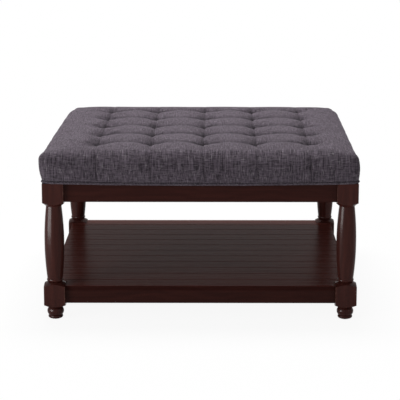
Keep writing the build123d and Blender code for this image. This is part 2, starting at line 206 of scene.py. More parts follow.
class WoodColours(bpy.types.PropertyGroup):
    """Colours of the woods, the metal and the glides."""

    stain_dark: colour("Stain, dark", "Stained wood in its dark grain", (0.0240, 0.0064, 0.0051))
    stain_light: colour("Stain, light", "Stained wood between the grain", (0.0370, 0.0100, 0.0077))
    groove: colour("Groove", "Stain gathered in the grooves of the shelf", (0.006, 0.003, 0.003))
    # Painted highlight along the legs' block arrises, with rubbed wear there
    arris_highlight_and_wear: colour("Worn", "Stained wood where its edges are rubbed", (0.20, 0.10, 0.075))
    bare_dark: colour("Bare wood, dark", "Unstained wood in its grain", (0.36, 0.22, 0.11))
    bare_light: colour("Bare wood, light", "Unstained wood between the grain", (0.56, 0.39, 0.22))
    bare_pore: colour("Bare wood, pores", "Pores of unstained wood", (0.22, 0.12, 0.06))
    ply_edge: colour("Ply edge", "Every other ply of the plywood's edge", (0.25, 0.14, 0.07))
    ply: length("Ply", "Thickness of two neighbouring plies", 3 * MM)
    zinc: colour("Zinc", "Plated steel", (0.56, 0.57, 0.58))
    nylon: colour("Nylon", "Moulded glides", (0.018, 0.014, 0.012))


class StageSettings(bpy.types.PropertyGroup):
    """The camera, the lamps and the floor."""

    lens: number("Lens", "Focal length", 143.08, unit="CAMERA")
    eye: FloatVectorProperty(
        name="Eye", description="Camera's place", default=(0.01784, -4.32734, 1.14257), unit="LENGTH"
    )
    yaw: angle("Yaw", "Turn to the left", 0.0047)
    pitch: angle("Pitch", "Tilt down", 0.2074)
    roll: angle("Roll", "Turn about the view", 0.0)
    studio: share("Studio", "Light of the room, where 1 is white", 0.22)
    floor: colour("Floor", "Floor under the table", (0.86, 0.86, 0.86))
    shadow: share("Shadow", "How strongly the table's shadow shows on the floor", 0.08)
    shadow_near: length("Shadow near", "Distance from the middle where the shadow starts to fade", 0.4)
    shadow_far: length("Shadow far", "Distance from the middle where the shadow is gone", 1.2)


def sizes_of(group):
    """The scene's property group of that name."""
    return getattr(bpy.context.scene, group)


def scaled(colour, factor):
    """A colour made lighter or darker by a factor."""
    return tuple(factor * part for part in colour)


class Signal:
    """An output socket of a material, with arithmetic that adds a Math node for each operation."""

    def __init__(self, finish, socket):
        self.finish = finish
        self.socket = socket

    def __add__(self, other):
        return self.finish.maths("ADD", self, other)

    def __sub__(self, other):
        return self.finish.maths("SUBTRACT", self, other)

    def __rsub__(self, other):
        return self.finish.maths("SUBTRACT", other, self)

    def __mul__(self, other):
        return self.finish.maths("MULTIPLY", self, other)

    def __truediv__(self, other):
        return self.finish.maths("DIVIDE", self, other)

    def __rtruediv__(self, other):
        return self.finish.maths("DIVIDE", other, self)

    __radd__ = __add__
    __rmul__ = __mul__


class Finish:
    """A material in the making, with the few ways in which nodes are added to it."""

    def __init__(self, name, tree=None):
        if tree is None:
            self.material = bpy.data.materials.new(name)
            self.material.use_nodes = True
            tree = self.material.node_tree
        self.tree = tree
        self.tree.nodes.clear()

    def node(self, kind, settings=(), sockets=(), output=0):
        """Adds a node: its settings are set first, then its sockets get values or links."""
        node = self.tree.nodes.new("ShaderNode" + kind)
        for name, value in dict(settings).items():
            setattr(node, name, value)
        for name, value in dict(sockets).items():
            socket = node.inputs[name]
            if isinstance(value, Signal):
                self.tree.links.new(value.socket, socket)
            elif socket.type == "RGBA" and len(value) == 3:
                socket.default_value = (*value, 1)
            else:
                socket.default_value = value
        return Signal(self, node.outputs[output]) if node.outputs else None

    def maths(self, operation, *values, clamp=False):
        """A Math node on one, two or three values."""
        settings = {"operation": operation, "use_clamp": clamp}
        return self.node("Math", settings, dict(enumerate(values)))

    def sine(self, value):
        """The sine of a value in radians."""
        return self.maths("SINE", value)

    def step(self, value, low, high):
        """A smooth step: 0 below low, 1 above high."""
        sockets = {"Value": value, "From Min": low, "From Max": high}
        return self.node("MapRange", {"interpolation_type": "SMOOTHSTEP"}, sockets)

    def mix(self, factor, first, second, blend="MIX"):
        """A mixture of two colours."""
        settings = {"data_type": "RGBA", "blend_type": blend}
        return self.node("Mix", settings, {0: factor, 6: first, 7: second}, output=2)

    def lit(self, value, colour):
        """A colour made lighter or darker by a factor."""
        return self.node("HueSaturation", {}, {"Value": value, "Color": colour})

    def shade(self, value, colour, amount):
        """A colour made lighter or darker by how far a value lies from a half, times the amount."""
        return self.lit((value - 0.5) * amount + 1.0, colour)

    def place(self):
        """The place on the piece, in its own coordinates."""
        return self.node("TexCoord", output=3)

    def axes(self, vector):
        """The three parts of a vector."""
        outputs = self.node("SeparateXYZ", {}, {0: vector}).socket.node.outputs
        return [Signal(self, outputs[i]) for i in range(3)]

    def placed(self, vector, scale=(1, 1, 1), turn=(0, 0, 0), move=(0, 0, 0)):
        """A vector that is scaled, turned and moved."""
        sockets = {"Vector": vector, "Scale": scale, "Rotation": turn, "Location": move}
        return self.node("Mapping", {}, sockets)

    def noise(self, vector, scale=1.0, detail=2.0, roughness=0.5, distortion=0.0):
        """Soft noise from 0 to 1."""
        sockets = {
            "Vector": vector,
            "Scale": scale,
            "Detail": detail,
            "Roughness": roughness,
            "Distortion": distortion,
        }
        return self.node("TexNoise", {}, sockets)

    def streaks(self, vector, scale, move=(0, 0, 0), **rules):
        """Noise drawn out into streaks, with the scale's number of cells a metre along each axis."""
        return self.noise(self.placed(vector, scale, move=move), **rules)

    def surface(self, bumps=(), **sockets):
        """Ends the material in a Principled BSDF, with bumps as (height, distance, strength) in turn."""
        normal = {}
        for height, distance, strength in bumps:
            bump = {"Height": height, "Distance": distance, "Strength": strength}
            normal = {"Normal": self.node("Bump", {}, {**bump, **normal})}
        values = {name.replace("_", " "): value for name, value in sockets.items()}
        shader = self.node("BsdfPrincipled", {}, {**values, **normal})
        self.node("OutputMaterial", {}, {"Surface": shader})
        return self.material


def linen():
    """Charcoal linen: a plain weave of uneven yarns, with thick light slubs that run along both ways, and
    painted shade that darkens it in the folds.
    """
    colours = sizes_of("cloth_colours")
    finish = Finish("charcoal linen")
    cloth = finish.node("UVMap", {"uv_map": "cloth"})
    across, along, _ = finish.axes(cloth)
    warp_wave, weft_wave = (finish.sine(way * (pi / colours.yarn)) for way in (across, along))
    over = warp_wave * weft_wave
    warp_yarn, weft_yarn = (finish.maths("ABSOLUTE", wave) for wave in (warp_wave, weft_wave))
    lift = over * colours.crimp
    height = finish.maths("MAXIMUM", warp_yarn + lift, weft_yarn - lift)
    warp_streak = finish.streaks(cloth, (330, 28, 1), detail=3, roughness=0.6)
    weft_streak = finish.streaks(cloth, (50, 330, 1), (7, 3, 0), detail=3, roughness=0.6)
    warp_slub = finish.streaks(cloth, (400, 50, 1), (31, 5, 0))
    weft_slub = finish.streaks(cloth, (50, 400, 1), (3, 43, 0))
    cloud = finish.noise(cloth, scale=22, detail=3)
    yarns = finish.mix(finish.step(over, -0.25, 0.25), colours.weft, colours.warp)
    dye = (warp_streak - 0.5) * colours.warp_streaks + (weft_streak - 0.5) * colours.weft_streaks
    dye = dye + (cloud - 0.5) * colours.clouds + 1.0
    dyed = finish.lit(finish.maths("MAXIMUM", dye, 0.5), yarns)
    warmth = finish.noise(cloth, scale=9) * 0.5
    tinted = finish.mix(warmth, dyed, colours.tint, "SOFT_LIGHT")
    slubs = finish.step(warp_slub, 0.58, 0.70) * 0.5 + finish.step(weft_slub, 0.60, 0.72) * 0.4
    yarned = finish.mix(slubs, tinted, colours.slub)
    # Painted shade: the cloth is darkened towards a dark weft where it lies in a fold, standing in for the
    # shade there
    painted_fold_shade = finish.node("Attribute", {"attribute_name": "painted_fold_shade"}, output=2)
    folded = finish.maths("MINIMUM", painted_fold_shade * 1.5, 0.9)
    return finish.surface(
        [(height, 0.18 * MM, 0.7), (warp_streak + weft_streak, 0.5 * MM, 0.5)],
        Base_Color=finish.mix(folded, yarned, scaled(colours.weft, 0.2)),
        Roughness=0.92,
        Specular_IOR_Level=0.06,
        Sheen_Weight=0.16,
        Sheen_Roughness=0.4,
        Sheen_Tint=(0.9, 0.8, 0.9, 1.0),
    )


def foam():
    """Open-cell foam: small round pores in a pale yellow."""
    colours = sizes_of("cloth_colours")
    finish = Finish("upholstery foam")
    place = finish.place()
    walls = finish.node("TexVoronoi", {"feature": "DISTANCE_TO_EDGE"}, {"Vector": place, "Scale": 700})
    base = finish.shade(finish.noise(place, scale=30, detail=3), colours.foam, 0.3)
    pores = finish.mix(finish.step(walls, 0.02, 0.2), colours.foam_pore, base)
    return finish.surface([(walls, 0.4 * MM, 0.8)], Base_Color=pores, Roughness=0.95)


def dust_cloth():
    """Black non-woven cloth: matted fibres pressed into a fine grid of dots."""
    finish = Finish("dust cloth")
    place = finish.place()
    fibres = finish.noise(place, scale=900, detail=4, distortion=2.5)
    dots = finish.node("TexVoronoi", {}, {"Vector": place, "Scale": 420, "Randomness": 0.25})
    pressed = finish.step(dots, 0.15, 0.45)
    base = finish.shade(fibres, sizes_of("cloth_colours").dust_cloth, 0.9)
    return finish.surface([(fibres * 0.5 + pressed, 0.2 * MM, 0.6)], Base_Color=base, Roughness=0.85)


def twine():
    """Waxed twine: strands that turn about its upright line."""
    finish = Finish("twine")
    x, y, z = finish.axes(finish.place())
    strands = finish.sine((x + y) * 3800.0 + z * 2200.0)
    base = finish.shade(strands * 0.5 + 0.5, sizes_of("cloth_colours").twine, 0.5)
    return finish.surface([(strands, 0.3 * MM, 0.6)], Base_Color=base, Roughness=0.6)


def grain(finish, along, centre=(0, 0, 0)):
    """The grain of a wood along an axis: coordinates with X along it, a broad figure and fine pores."""
    moved = finish.node("VectorMath", {"operation": "SUBTRACT"}, {0: finish.place(), 1: centre})
    laid = finish.placed(moved, turn=GRAIN_TURNS[along])
    wander = finish.noise(laid, scale=5)
    figure = finish.streaks(laid, (5, 150, 150), detail=5, roughness=0.6, distortion=0.3)
    _, y, z = finish.axes(laid)
    rings = finish.sine(y * 520.0 + z * 300.0 + wander * 26.0) * 0.5 + 0.5
    pores = finish.streaks(laid, (34, 1500, 1500), roughness=0.6)
    return laid, figure * 0.88 + rings * 0.12, pores


def stained_wood(
    name, along, centre=(0, 0, 0), marks_and_highlight=None, tone=1.0, gloss=0.02, coat=0.1, roughness=0.4
):
    """Espresso stained wood under satin lacquer, with its grain along an axis and any marks and painted
    highlight on top.
    """
    colours = sizes_of("wood_colours")
    # A tone above 1 paints the stain lighter than the rails': painted light, where a part gets more light
    # or makes up for shade
    dark, light = scaled(colours.stain_dark, tone), scaled(colours.stain_light, tone)
    finish = Finish(name)
    _, figure, pores = grain(finish, along, centre)
    base = finish.mix(finish.step(figure, 0.25, 0.75), dark, light)
    pored = finish.mix(finish.step(pores, 0.56, 0.72) * 0.45, base, scaled(dark, 0.5))
    return finish.surface(
        [(pores, -0.12 * MM, 0.35), (figure, 0.25 * MM, 0.25)],
        Base_Color=marks_and_highlight(finish, pored) if marks_and_highlight else pored,
        Roughness=figure * 0.10 + (roughness - 0.05),
        Specular_IOR_Level=gloss,
        Coat_Weight=coat,
        Coat_Roughness=0.17,
        Coat_IOR=1.35,
    )


def board_edges(finish, base):
    """Each shelf board has its own tone, and stain lies dark in the grooves between boards."""
    y = finish.axes(finish.place())[1]
    row = (y - shelf_high.y) / BOARD_PITCH
    index = finish.maths("FLOOR", row)
    tone = finish.node("TexWhiteNoise", {"noise_dimensions": "1D"}, {"W": index})
    groove = finish.step(finish.maths("ABSOLUTE", row - index - 0.5), 0.462, 0.492)
    return finish.mix(groove * 0.75, finish.shade(tone, base, 0.14), sizes_of("wood_colours").groove)


def block_edges(sign_x, sign_y):
    """Marks for a leg's wood: the upright arrises of its square blocks are painted lighter, a painted
    highlight where an eased edge would catch light, broken by scuffs as rubbed wear.
    """

    def marks_and_highlight(finish, base):
        place = finish.place()
        x, y, _ = finish.axes(place)
        from_x = LEG_HALF - finish.maths("ABSOLUTE", x - sign_x * LEG_AXIS)
        from_y = LEG_HALF - finish.maths("ABSOLUTE", y - sign_y * LEG_AXIS)
        # Painted highlight: lighter along the arrises, where an eased edge would catch light
        arris = 1.0 - finish.step(from_x + from_y, 0.4 * MM, 2.2 * MM)
        scuffs = finish.step(finish.noise(place, scale=160, detail=3), 0.3, 0.7)
        return finish.mix(arris * scuffs * 0.45, base, sizes_of("wood_colours").arris_highlight_and_wear)

    return marks_and_highlight


def bare_wood(name, along):
    """Sawn hardwood without a finish, with fine saw marks across its grain."""
    colours = sizes_of("wood_colours")
    finish = Finish(name)
    laid, figure, pores = grain(finish, along)
    x = finish.axes(laid)[0]
    saw = finish.sine(x * 2600.0 + pores * 3.0)
    base = finish.mix(finish.step(figure, 0.2, 0.8), colours.bare_dark, colours.bare_light)
    pored = finish.mix(finish.step(pores, 0.58, 0.75) * 0.4, base, colours.bare_pore)
    return finish.surface([(saw * 0.3 + pores, 0.15 * MM, 0.4)], Base_Color=pored, Roughness=0.8)


def plywood():
    """Birch plywood: a pale face, and plies that alternate in tone through its thickness."""
    colours = sizes_of("wood_colours")
    finish = Finish("plywood")
    _, figure, pores = grain(finish, "x")
    z = finish.axes(finish.place())[2]
    plies = finish.sine((z - board_low.z) * (tau / colours.ply))
    base = finish.mix(finish.step(figure, 0.2, 0.8), colours.bare_dark, colours.bare_light)
    layered = finish.mix(finish.step(plies, -0.2, 0.2) * 0.35, base, colours.ply_edge)
    return finish.surface([(pores, 0.15 * MM, 0.4)], Base_Color=layered, Roughness=0.75)


def zinc():
    """Zinc plated steel: cool, a little mottled and dull."""
    finish = Finish("zinc plate")
    place = finish.place()
    mottle = finish.noise(place, scale=220, detail=4)
    scratches = finish.streaks(place, (60, 2400, 2400))
    base = finish.shade(mottle, sizes_of("wood_colours").zinc, 0.3)
    return finish.surface(
        [(scratches, 0.05 * MM, 0.3)], Base_Color=base, Metallic=1.0, Roughness=mottle * 0.25 + 0.25
    )


def nylon():
    """Dark moulded nylon, with a fine matt skin."""
    finish = Finish("nylon")
    skin = finish.noise(finish.place(), scale=1400)
    base = finish.shade(skin, sizes_of("wood_colours").nylon, 0.4)
    return finish.surface([(skin, 0.08 * MM, 0.4)], Base_Color=base, Roughness=skin * 0.2 + 0.4)


def dress(names, material):
    """Gives CAD nodes a finish."""
    for name in names:
        mesh = nodes[name].data
        mesh.materials.clear()
        mesh.materials.append(material)


def named(start):
    """The CAD nodes whose names start so."""
    return [name for name in sorted(nodes) if name.startswith(start)]


def piece(name, points, faces, uv, material, slot, *replaced):
    """Makes a mesh piece that stands for CAD nodes, with a UV place for each corner of its faces."""
    mesh = bpy.data.meshes.new(name)
    mesh.vertices.add(len(points))
    mesh.vertices.foreach_set("co", points.astype(np.float32).ravel())
    mesh.loops.add(faces.size)
    mesh.loops.foreach_set("vertex_index", faces.astype(np.int32).ravel())
    mesh.polygons.add(len(faces))
    mesh.polygons.foreach_set("loop_start", np.arange(0, faces.size, 4, dtype=np.int32))
    mesh.update(calc_edges=True)
    mesh.validate()
    mesh.uv_layers.new(name="cloth").data.foreach_set("uv", uv.astype(np.float32).ravel())
    mesh.polygons.foreach_set("use_smooth", np.ones(len(faces), bool))
    mesh.materials.append(material)
    made = bpy.data.objects.new(name, mesh)
    bpy.context.scene.collection.objects.link(made)
    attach(made, "root")
    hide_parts(*replaced)
    return made


def cells(grid):
    """The four corners of each cell of a grid, in turn. Point numbers give faces that look up."""
    return grid[:-1, :-1], grid[1:, :-1], grid[1:, 1:], grid[:-1, 1:]


def closed(rows):
    """Rows of values that go round a loop, with the first of each row repeated at its end."""
    return np.concatenate([rows, rows[:, :1]], axis=1)


def grid_faces(count):
    """Faces of a square grid of points, numbered row by row."""
    return np.stack(cells(np.arange(count**2).reshape(count, count)), axis=-1).reshape(-1, 4)


def grid_rim(count):
    """The numbers of the points round the edge of such a grid, along its first column to begin with."""
    index = np.arange(count**2).reshape(count, count)
    return np.concatenate([index[:-1, 0], index[-1, :-1], index[:0:-1, -1], index[0, :0:-1]])


def strip_faces(belt):
    """Faces between neighbouring rows of point numbers, where each row goes round a loop."""
    return np.stack(cells(closed(belt)), axis=-1).reshape(-1, 4)


class CushionForm:
    """The cushion's base form and its creases, on a grid whose lines crowd at the creases and corners.

    The flat top is a square grid with small round corners. Rings of points leave its edge, each the
    edge's points moved out along their level normals and down. The tufting is a depth, taken off
    along the base form's normal everywhere.
    """

    # Lines of the grid in half a pad, from the outer pads' middles to the corners, and round these
    pad_lines, rim_lines, corner_lines = 11, 6, 7
    # Rows over the edge and again down the side, and rows round the foot, with the row above as the first
    side_steps, foot_steps = 14, 5
    # Power with which a valley deepens towards its line of tufts, and anything towards a tuft
    line_power, tuft_power = 2.3, 1.5
    # Shares of their depth that folds keep halfway between tufts: front to back, and side to side
    column_between, row_between = 0.12, 0.3
    # Shares of their depth that are left past the outer tufts: of a valley, and of those two folds
    valley_past, column_past, row_past = 0.12, 0.7, 0.0
    # Shares of the folds that reach the layers below the cloth, the pleats, and the pleats of a side
    lower_share, pleat_share, side_pleat_share = 0.6, 0.6, 0.2
    # Painted shade of a pleat at its top and at its foot, where 1 is as dark as the painted shade of a fold
    pleat_top, pleat_foot = 0.4, 0.1
    # Share by which the side's valleys fade towards the foot, and of the top's lean that the tufts lack
    foot_fade, unleaned = 0.75, 0.55
    # Distances from a tuft: where its wrinkles are highest, where they end, and how far its twine holds
    pucker_peak, pucker_reach, held = 12 * MM, 60 * MM, 9 * MM
    # How far the pads rise and fall in long waves, how far the sides do, and the rounding at the tuck
    uneven_top, uneven_side, turn_in = 1.1 * MM, 0.5 * MM, 1 * MM
    # The wave that each unevenness starts from
    depth_wave, side_wave, spoke_wave, pad_wave, stray_x_wave, stray_y_wave = range(6)

    def __init__(self, crowding=1.7):
        self.sizes = size = sizes_of("cushion_sizes")
        self.core = size.half_width - size.edge_radius - size.swell
        self.plumb = size.crown - size.rim_drop - size.edge_radius
        self.half_pad = size.half_width / size.pads
        self.tufts = self.half_pad * (2 * np.arange(1, size.pads) - size.pads)
        self.slope = np.arctan(size.rim_power * size.rim_drop / (self.core - self.tufts[-1]))
        self.waves = np.random.default_rng(WAVE_SEED).uniform(-1, 1, (8, 6))
        steps = self.half_pad * np.linspace(0, 1, self.pad_lines) ** crowding
        inner = (self.tufts[:, None, None] + np.stack([-steps, steps])).ravel()
        bend = self.core - size.corner_radius
        crest = self.tufts[-1] + self.half_pad
        falling = np.linspace(crest, bend, self.rim_lines)
        outer = np.concatenate([falling, np.linspace(bend, self.core, self.corner_lines)])
        self.places = np.unique(np.round(np.concatenate([inner, outer, -outer]), 7))
        self.count = len(self.places)
        self.x, self.y = self.rounded(*np.meshgrid(self.places, self.places, indexing="ij"))
        self.rim = grid_rim(self.count)
        self.rim_x, self.rim_y = self.x.ravel()[self.rim], self.y.ravel()[self.rim]
        self.out_x = (self.rim_x - np.clip(self.rim_x, -bend, bend)) / size.corner_radius
        self.out_y = (self.rim_y - np.clip(self.rim_y, -bend, bend)) / size.corner_radius
        self.front = np.abs(self.out_y) >= np.abs(self.out_x)
        self.along = np.where(self.front, self.rim_x, self.rim_y)
        self.raised = np.where(self.front, 1, -1)
        self.bow = np.clip(1 - (self.along / self.core) ** 2, 0, 1)

    def rounded(self, x, y):
        """Bends the grid's square corners into quarter circles, each square ring there into an arc."""
        bend = self.core - self.sizes.corner_radius
        over_x, over_y = np.abs(x) - bend, np.abs(y) - bend
        corner = (over_x > 0) & (over_y > 0)
        most = np.maximum(over_x, over_y)
        least = np.minimum(over_x, over_y)
        turn = np.where(corner, np.divide(least, most, where=corner, out=np.zeros_like(x)), 0) * (pi / 4)
        turn = np.where(over_x >= over_y, turn, pi / 2 - turn)
        arc_x, arc_y = bend + most * np.cos(turn), bend + most * np.sin(turn)
        return np.where(corner, np.sign(x) * arc_x, x), np.where(corner, np.sign(y) * arc_y, y)

    def from_tuft(self, along):
        """How far a place lies past the nearest line of tufts on one axis, with its sign."""
        away = along[..., None] - self.tufts
        return np.take_along_axis(away, np.abs(away).argmin(-1)[..., None], -1)[..., 0]

    def past_tufts(self, along, width):
        """How far a place lies past the outer tufts on one axis, as a share of a width, from 0 to 1."""
        return np.clip((np.abs(along) - self.tufts[-1]) / width, 0, 1)

    def valley(self, along, power):
        """How deep a place lies in the nearest crease: 1 in it, 0 from the middle of a pad outwards."""
        return (1 - np.clip(np.abs(self.from_tuft(along)) / self.half_pad, 0, 1)) ** power

    def folded(self, along, raised, back):
        """A fold in each crease: 1 in it, gone a lip's width away on the raised side, and gently behind."""
        away = self.from_tuft(along) * raised
        steep = np.clip(1 - away / self.sizes.fold_lip, 0, 1)
        gentle = np.clip(1 + away / back, 0, 1)
        return np.where(away > 0, steep, gentle) ** 2

    def fading(self, along, left):
        """How strong a crease still is past the outer tufts: a smooth step from 1 to the share left."""
        share = self.past_tufts(along, self.sizes.fade)
        return 1 - (1 - left) * share**2 * (3 - 2 * share)

    def wavy(self, x, y, wave):
        """A smooth unevenness from -1 to 1 that follows no grid.

        Three terms are added and divided by the most that they can reach. Each is a wave along X
        times a wave along Y, plus half a slanting wave, with random lengths and shifts. The first
        two waves are 0.4 m long or more, and the slanting one is 0.2 to 0.5 m along either axis.
        """
        total = np.zeros_like(x)
        for bend_x, shift_x, bend_y, shift_y, slant, shift in self.waves[wave : wave + 3]:
            along_x = np.sin(x * (9 + 7 * bend_x) + 6 * shift_x)
            along_y = np.sin(y * (10 + 7 * bend_y) + 6 * shift_y)
            total += along_x * along_y + 0.5 * np.sin((x - y) * (21 + 9 * slant) + 6 * shift)
        return total / 4.5

    def folds(self, x, y):
        """The folds on the top, from 0 to 1: deepest at the tufts, and gone soon past the outer ones."""
        run_x, run_y = (self.valley(place, self.tuft_power) for place in (x, y))
        column = self.folded(x, 1, self.sizes.fold_back) * self.fading(y, self.column_past)
        row = self.folded(y, -1, self.sizes.fold_back) * self.fading(x, self.row_past)
        column *= self.column_between + (1 - self.column_between) * run_y
        row *= self.row_between + (1 - self.row_between) * run_x
        return np.maximum(column, row)

    def depth(self, x, y, fold):
        """The tufting's depth on the top.

        Two sets of valleys are deeper where they cross, and the folds lie over them. Wrinkles spread
        from each tuft as seven bent spokes: they rise to their peak and fall away again, as t times
        e to the power 1 - t. The pads' long waves are taken off at the end.
        """
        size = self.sizes
        column = self.valley(x, self.line_power) * self.fading(y, self.valley_past)
        row = self.valley(y, self.line_power) * self.fading(x, self.valley_past)
        crossing = self.valley(x, self.tuft_power) * self.valley(y, self.tuft_power)
        total = size.crease * (column + row) + size.tuft * crossing + fold * self.folds(x, y)
        total *= 1 + 0.1 * self.wavy(x, y, self.depth_wave)
        dx, dy = self.from_tuft(x), self.from_tuft(y)
        away = np.hypot(dx, dy)
        spokes = np.sin(7 * np.arctan2(dy, dx) + 9 * self.wavy(x, y, self.spoke_wave))
        rise = away / self.pucker_peak
        total += size.pucker * spokes * rise * np.exp(1 - rise) * (away < self.pucker_reach)
        return total - self.uneven_top * self.wavy(x * 1.6, y * 1.6, self.pad_wave)

    def top(self, inset, fold):
        """Points of the top: the crown, less the rim's fall, the tufting and the inset.

        The fall is the fourth root of the two axes' falls to the fourth power, so that it is no
        deeper in a corner than along a side.
        """
        size = self.sizes
        falls = (
            self.past_tufts(place, self.core - self.tufts[-1]) ** (4 * size.rim_power)
            for place in (self.x, self.y)
        )
        z = size.crown - size.rim_drop * sum(falls) ** (1 / 4) - self.depth(self.x, self.y, fold) - inset
        return self.leaning(*self.strayed(self.x, self.y), z).reshape(-1, 3)

    def strayed(self, x, y):
        """Places moved by the tufting's drift and wander, less towards the sides that they move to."""
        size = self.sizes
        wander_x, wander_y = (
            size.wander * self.wavy(x * 2.2, y * 2.2, wave)
            for wave in (self.stray_x_wave, self.stray_y_wave)
        )
        shift_x = size.drift - self.unleaned * size.skew * y + wander_x
        return x + shift_x * (1 - (x / self.core) ** 6), y + wander_y * (1 - (y / self.core) ** 6)

    def leaning(self, x, y, height):
        """Moves places from the plain form to the cushion's own, more the higher they lie above the foot.

        The top is skewed and tapers to the rear, its rear corners are pulled in and its front ones
        lifted. Between its corners the front edge falls from its own rounding to a larger one: a place
        goes down by the difference between the two quarter circles, less and less towards the foot.
        """
        size = self.sizes
        inside = np.clip(self.core + size.edge_radius + y, 0, size.front_round)
        wide, narrow = (
            radius - np.sqrt(radius**2 - np.clip(radius - inside, 0, radius) ** 2)
            for radius in (size.front_round, size.edge_radius)
        )
        softened = (wide - narrow) * np.clip((height - size.foot) / (self.plumb - size.foot), 0, 1)
        softened *= np.clip(1 - (x / self.core) ** 4, 0, 1)
        share = np.clip((height - size.foot) / (size.crown - size.foot), 0, 1)
        near_x, near_y = (
            np.clip(1 - (self.core - np.abs(place)) / size.corner_reach, 0, 1) ** 2 for place in (x, y)
        )
        corner = near_x * near_y * share
        pull = np.where(y > 0, size.rear_pull, 0) * corner
        lift = np.where(y > 0, 0, size.front_lift) * corner
        aside = share * (size.skew * y - size.taper * x / self.core * np.clip(y / self.core, 0, 1))
        return np.stack([x + aside - np.sign(x) * pull, y - pull, height + lift - softened], axis=-1)

    def ring(self, out, height, depth=0.0, lean=1.0, corner=None):
        """A ring of points round the cushion: the rim moved out, less a depth along the leaning normal.

        Where a corner radius is given, the corners get it, and the sides' ends stretch to reach them.
        """
        reach = self.core - self.sizes.corner_radius
        extra = 0 if corner is None else self.sizes.corner_radius + out - corner
        x, y = self.strayed(self.rim_x, self.rim_y)
        stretch_x, stretch_y = (
            np.sign(place) * self.past_tufts(place, reach - self.tufts[-1])
            for place in (self.rim_x, self.rim_y)
        )
        out = out - extra - depth * lean
        x = x + self.out_x * out + stretch_x * extra
        y = y + self.out_y * out + stretch_y * extra
        return self.leaning(x, y, height - depth * np.sqrt(1 - lean**2) + 0 * x)

    def pleats(self):
        """The folds that run on down the sides, from 0 to 1: full at the front and the rear."""
        pleat = self.folded(self.along, self.raised, self.sizes.pleat_back)
        return np.where(self.front, 1, self.side_pleat_share) * pleat

    def painted_fold_shades(self, rings):
        """Painted shade for each point, darker the deeper it lies in a fold, on the top and then on a
        number of rings down the sides.
        """
        fading = np.linspace(self.pleat_top, self.pleat_foot, rings)[:, None]
        return np.concatenate([self.folds(self.x, self.y).ravel(), (fading * self.pleats()).ravel()])

    def side_rings(self, inset, fold, floor, sag=0.0):
        """Rings down the edge and the side: an arc from the top's slope to plumb, then a side drawn in.

        Below the arc the side pulls in with the square of the distance down, and so it sags between
        the corners. The top's creases turn into shallow valleys and folds that fade towards the foot.
        """
        size = self.sizes
        rim_depth = self.depth(self.rim_x, self.rim_y, fold)
        side_depth = size.side_crease * self.valley(self.along, self.line_power)
        side_depth += self.pleat_share * fold * self.pleats()
        side_depth += self.uneven_side * self.wavy(self.rim_x * 2, self.rim_y * 2, self.side_wave)
        rings = []
        for turn in np.linspace(self.slope, pi / 2, self.side_steps)[1:]:
            out = size.edge_radius * (sin(turn) - sin(self.slope)) / (1 - sin(self.slope))
            height = self.plumb + size.edge_radius * cos(turn) / cos(self.slope)
            depth = rim_depth * cos(turn) ** 2 + side_depth * sin(turn) ** 2
            rings.append(self.ring(out, height, depth + inset, sin(turn)))
        for share in np.linspace(0, 1, self.side_steps)[1:]:
            height = self.plumb + (floor - self.plumb) * share
            low = (self.plumb - height) / (self.plumb - size.foot)
            drawn = size.draw_in * low**2
            out = size.edge_radius + size.belly * sin(pi * low) - drawn
            depth = side_depth * (1 - self.foot_fade * low**2)
            corner = size.corner_radius + size.edge_radius
            corner += (size.foot_corner - corner) * low
            height = height - sag * low**2 * self.bow
            rings.append(self.ring(out, height, depth + inset, corner=corner - drawn))
        return rings

    def tucked_rings(self, inside):
        """Rings on from the side: round its foot, behind the welt, down to the hem, and back up inside."""
        size, trim = self.sizes, sizes_of("trim_sizes")
        foot = size.foot - size.sag * self.bow
        low = size.edge_radius - size.draw_in
        tuck = welt_high.x - 2 * trim.welt_radius - size.layer_gap - self.core
        bent = {"corner": trim.welt_corner - trim.welt_radius - size.layer_gap}
        turned = {"corner": bent["corner"] - size.hem}
        hem_half = self.core + tuck - size.hem_width
        hem_top = cover_low.z + size.hem
        rings = []
        for turn in np.linspace(0, pi / 2, self.foot_steps)[1:]:
            inward, upward = size.foot_round * (1 - cos(turn)), size.foot_round * (1 - sin(turn))
            corner = size.foot_corner - size.draw_in - inward
            rings.append(self.ring(low - inward, foot + upward, corner=corner))
        return [
            *rings,
            self.ring(tuck + self.turn_in, foot, **bent),
            self.ring(tuck, foot - self.turn_in, **bent),
            self.ring(tuck, cover_low.z + self.turn_in, **bent),
            self.ring(tuck - self.turn_in, cover_low.z, **bent),
            self.squared(hem_half, cover_low.z),
            self.squared(hem_half, hem_top),
            self.ring(tuck - size.hem, hem_top, **turned),
            self.ring(tuck - size.hem, inside, **turned),
        ]

    def squared(self, half, height):
        """A square ring with sharp corners: the rim's points, moved along their lines to the middle."""
        scale = half / np.maximum(np.abs(self.rim_x), np.abs(self.rim_y))
        return np.stack([self.rim_x * scale, self.rim_y * scale, height + 0 * scale], axis=-1)

    def belt(self, rings):
        """Rows of point numbers: the top's rim, then a number of rings below it."""
        around = len(self.rim)
        return np.vstack([self.rim, np.arange(rings * around).reshape(rings, around) + self.count**2])

    def moved(self, settled, kind):
        """How far the simulated cloth moved at this grid's lines: on the top, or on the rings in turn.

        Between the simulation's own lines the move is interpolated, along one axis and then the other.
        """
        places, top, sides = settled
        if kind == "top":
            rows = top.transpose(0, 2, 1).reshape(-1, len(places))
            lines = np.array([np.interp(self.places, places, row) for row in rows])
            lines = lines.reshape(len(places), 3, self.count).transpose(2, 1, 0).reshape(-1, len(places))
            both = np.array([np.interp(self.places, places, row) for row in lines])
            return both.reshape(self.count, 3, self.count).transpose(2, 0, 1).reshape(-1, 3)
        run = len(places) - 1
        line = np.interp(self.places, places, np.arange(run + 1))[:-1]
        turned = run - np.interp(self.places[::-1], places, np.arange(run + 1))[:-1]
        spot = np.concatenate([line, run + line, 2 * run + turned, 3 * run + turned])
        before = np.floor(spot).astype(int) % (4 * run)
        part = (spot - np.floor(spot))[:, None]
        return sides[:, before] * (1 - part) + sides[:, (before + 1) % (4 * run)] * part

